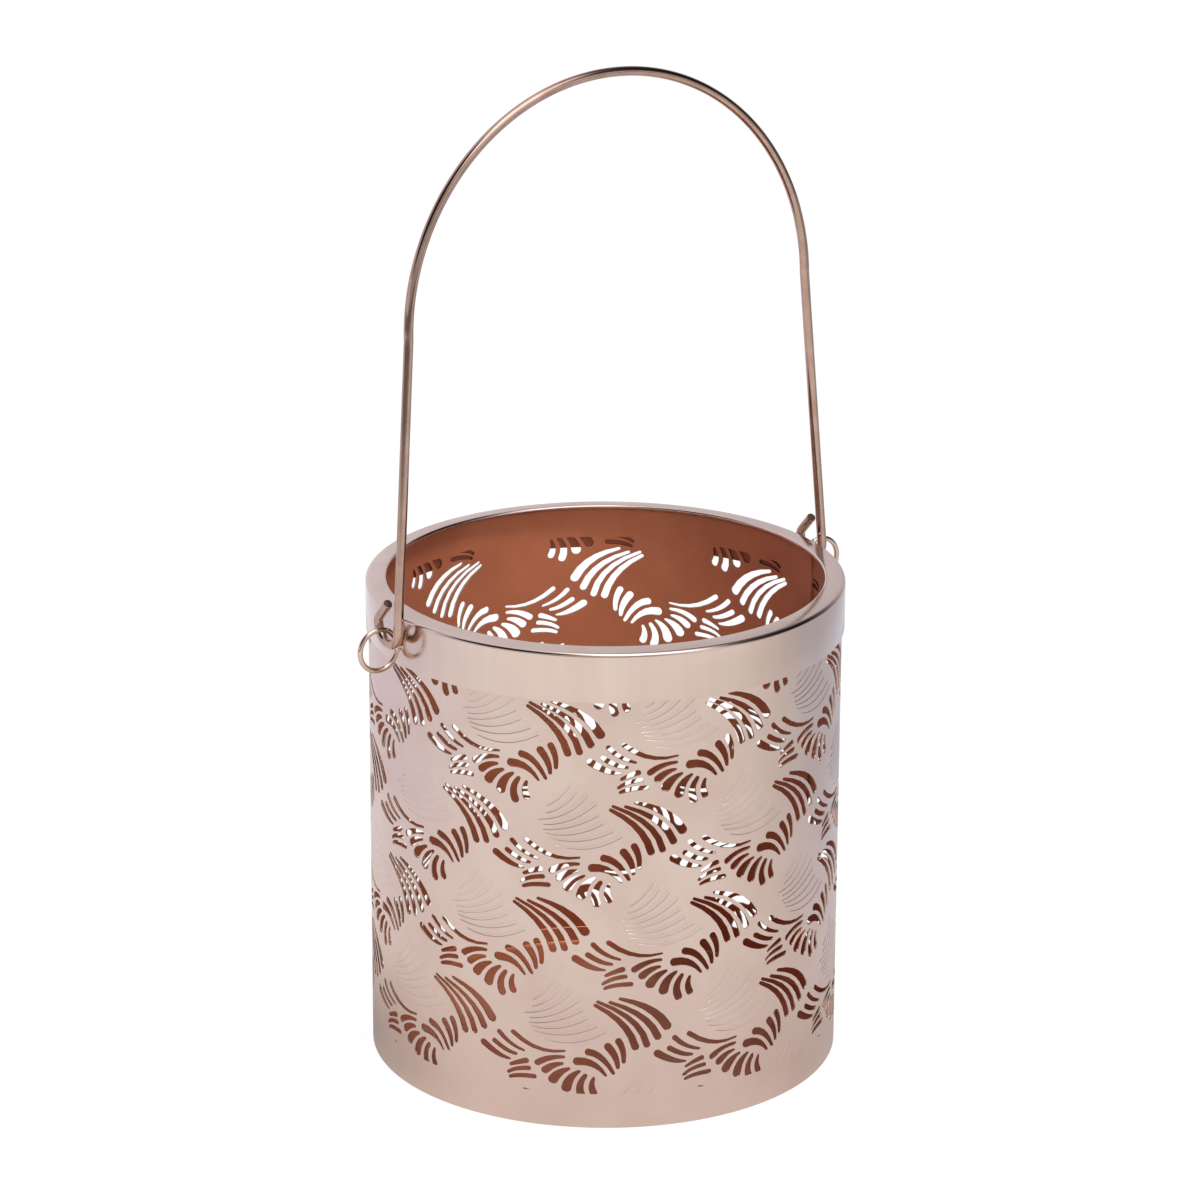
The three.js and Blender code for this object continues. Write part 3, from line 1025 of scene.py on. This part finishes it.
@dataclass
class Studio:
    """Pale floor and white surround.

    Metal sees them as a room: the surround has a soft box overhead, dark patches, a brighter front and bluish
    sides. The floor is dimmer behind on the right and far in front. Beside the base it carries a painted shadow
    of the lantern, and close by a painted pink reflection of it.
    """

    floor_size: float = 6.0
    floor_drop: float = 0.05
    matt_tone: Colour = (0.88, 0.87, 0.86)
    white_share: float = 0.9
    white_level: float = 1.06
    ambient: float = 0.5
    right: Place = (0.8348, -0.5505, 0.0)
    ahead: Place = (-0.5505, -0.8348, 0.0)
    floor_zones: tuple[Zone, ...] = (
        Zone(0.68, right=(0.0, 0.3), ahead=(0.35, -0.1)),
        # Painted shadow: beside the base, behind on the left and on the right, metal sees the floor dimmer
        Zone(0.5, right=(-0.03, -0.06), ahead=(0.065, 0.0), away=(0.12, 0.066)),
        Zone(0.75, right=(0.03, 0.06), ahead=(0.065, 0.0), away=(0.12, 0.066)),
        Zone(0.2, ahead=(-0.1, 0.3), away=(0.92, 1.1)),
        Zone(1.04, ahead=(0.0, 0.15)),
        Zone(tone=(0.84, 0.83, 0.95), right=(-0.05, -0.3), ahead=(0.3, -0.05)),
        # Painted reflection: close by, metal sees the floor pink, as if lit by the lantern's own bounce
        Zone(tone=(0.85, 0.785, 0.77), away=(0.22, 0.07)),
        Zone(tone=(0.84, 0.87, 1.0), right=(0.05, 0.15), ahead=(0.05, -0.1)),
    )
    room_zones: tuple[Zone, ...] = (
        Zone(1.15, ahead=(0.1, 0.5)),
        Zone(0.68, right=(-0.2, 0.22), ahead=(0.3, -0.1)),
        Zone(0.25, right=(0.4, 0.8), ahead=(0.2, -0.2)),
        Zone(tone=(0.88, 0.86, 0.91), ahead=(0.0, -0.8)),
        Zone(tone=(0.84, 0.83, 0.95), right=(-0.1, -0.7)),
        Zone(tone=(0.92, 0.90, 1.0), right=(0.0, 0.5)),
    )
    sky: tuple[SkyPatch, ...] = (
        SkyPatch(0.2, 0.33, 0.92, 18.0, 36.0, 2.5),
        SkyPatch(-0.61, 0.45, 0.65, 24.0, 37.0, 0.03),
        SkyPatch(0.86, -0.08, 0.5, 22.0, 38.0, 0.08),
        SkyPatch(0.4, -0.55, 0.73, 15.0, 30.0, 0.2),
        SkyPatch(0.0, 0.97, 0.15, 22.0, 42.0, 0.45),
    )
    lamps: tuple[Lamp, ...] = (
        Lamp("key_lamp", (-1.6, -1.2, 1.5), 0.9, 4.0),
        Lamp("crown_lamp", (0.215, -1.046, 1.92), 0.45, 33.0),
        Lamp("inner_lamp", (-0.797, -1.391, 0.75), 0.05, 90.0, (0.0205, 0.058, 0.105), 5.0),
    )

    def in_metal(self, graph: Graph, zones: Sequence[Zone], glossy: Value, way: Socket,
                 away: Value | None = None) -> tuple[Value, Socket]:
        """What metal sees: the levels of all zones multiplied, and each tone over the ones before it.

        Args:
            graph: The floor's or the surround's graph.
            zones: Its zones.
            glossy: 1 for a reflected ray, 0 for any other.
            way: The place on the floor, or the heading in the surround.
            away: The place's distance from the middle.

        Returns:
            The level, and the tone, which is white to any other ray.
        """
        right, ahead = graph.dot(way, self.right), graph.dot(way, self.ahead)
        level, tone = 1.0, WHITE
        for zone in zones:
            share = zone.share(right, ahead, away)
            if zone.tone is None:
                level = level * (1.0 - share * (1.0 - zone.level))
            else:
                tone = graph.mix(glossy * share, tone, zone.tone)
        return level, tone

    def floor(self) -> None:
        """A pale floor that is white to the camera and keeps the lantern's shadow; metal sees its zones."""
        made = bpy.data.materials.new("pale_floor")
        made.use_nodes = True
        graph = Graph(made.node_tree)
        camera, through, glossy = graph.rays()
        place = graph.coordinates()
        away = graph.add("ShaderNodeVectorMath", {"operation": "LENGTH"}, {0: place}).outputs["Value"]
        level, tone = self.in_metal(graph, self.floor_zones, glossy, place, Value(graph, away))
        strength = self.white_level + glossy * (level - self.white_level)
        matt = graph.add("ShaderNodeBsdfDiffuse", None, {"Color": (*self.matt_tone, 1.0)})
        white = graph.add("ShaderNodeEmission", None, {"Color": tone, "Strength": strength})
        seen = (camera.max(through) * self.white_share).max(glossy)
        both = graph.add("ShaderNodeMixShader", None, {0: seen, 1: matt.outputs[0], 2: white.outputs[0]})
        graph.add("ShaderNodeOutputMaterial", None, {"Surface": both.outputs[0]})
        corners = self.floor_size / 2.0 / MM * np.array([[-1.0, -1.0], [1.0, -1.0], [1.0, 1.0], [-1.0, 1.0]])
        corners = np.column_stack([corners, np.full(4, -self.floor_drop)])
        floor = new_piece("studio_floor", corners, [np.arange(4)[None]], [], sharp=None)
        floor.data.materials.append(made)

    def surround(self) -> None:
        """A world that is white to the camera and lights the lantern; metal sees its zones and patches."""
        world = bpy.data.worlds.new("studio")
        bpy.context.scene.world = world
        world.use_nodes = True
        graph = Graph(world.node_tree)
        way = graph.add("ShaderNodeTexCoord").outputs["Generated"]
        camera, _, glossy = graph.rays()
        level, tone = self.in_metal(graph, self.room_zones, glossy, way)
        for patch in self.sky:
            heading = Vector(self.right) * patch.right + Vector(self.ahead) * patch.ahead
            heading = (heading + Vector((0.0, 0.0, patch.up))).normalized()
            edge, full = (math.cos(math.radians(angle)) for angle in (patch.outer, patch.inner))
            level = level * (1.0 - graph.dot(way, tuple(heading)).band(edge, full) * (1.0 - patch.level))
        strength = camera.max(self.ambient) + glossy * (level - self.ambient)
        back = graph.add("ShaderNodeBackground", None, {"Color": tone, "Strength": strength})
        graph.add("ShaderNodeOutputWorld", None, {"Surface": back.outputs[0]})

    def build(self) -> None:
        """Sets the whole studio."""
        bpy.context.scene.view_settings.view_transform = "Standard"
        self.floor()
        self.surround()
        for lamp in self.lamps:
            lamp.hang()


def carry(piece: bpy.types.Object, body: str, node: str) -> None:
    """Seats a finished piece on the frame in place of its plain solid, and reports it.

    Args:
        piece: The new object.
        body: The body it moves with.
        node: The solid it stands for.
    """
    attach(piece, body)
    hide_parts(node)
    log.info("%s: %d faces, in place of %s on %s", piece.name, len(piece.data.polygons), node, body)


def main() -> None:
    """Builds the lantern piece by piece, then the studio."""
    logging.basicConfig(level=logging.INFO, format="%(name)s: %(message)s")
    PhotoCamera().build()
    carry(PiercedSleeve().build(), "lantern_body", "wall_sleeve")
    carry(BasePlate().build(), "lantern_body", "base_plate")
    carry(RimBand().build(), "lantern_body", "rim_band")
    for side in Side:
        carry(EarRing(side).build(), "lantern_body", f"ear_ring_{side.name.lower()}")
    carry(BailHandle().build(), "bail", "bail_handle")
    Studio().build()


if __name__ == "__main__":
    main()
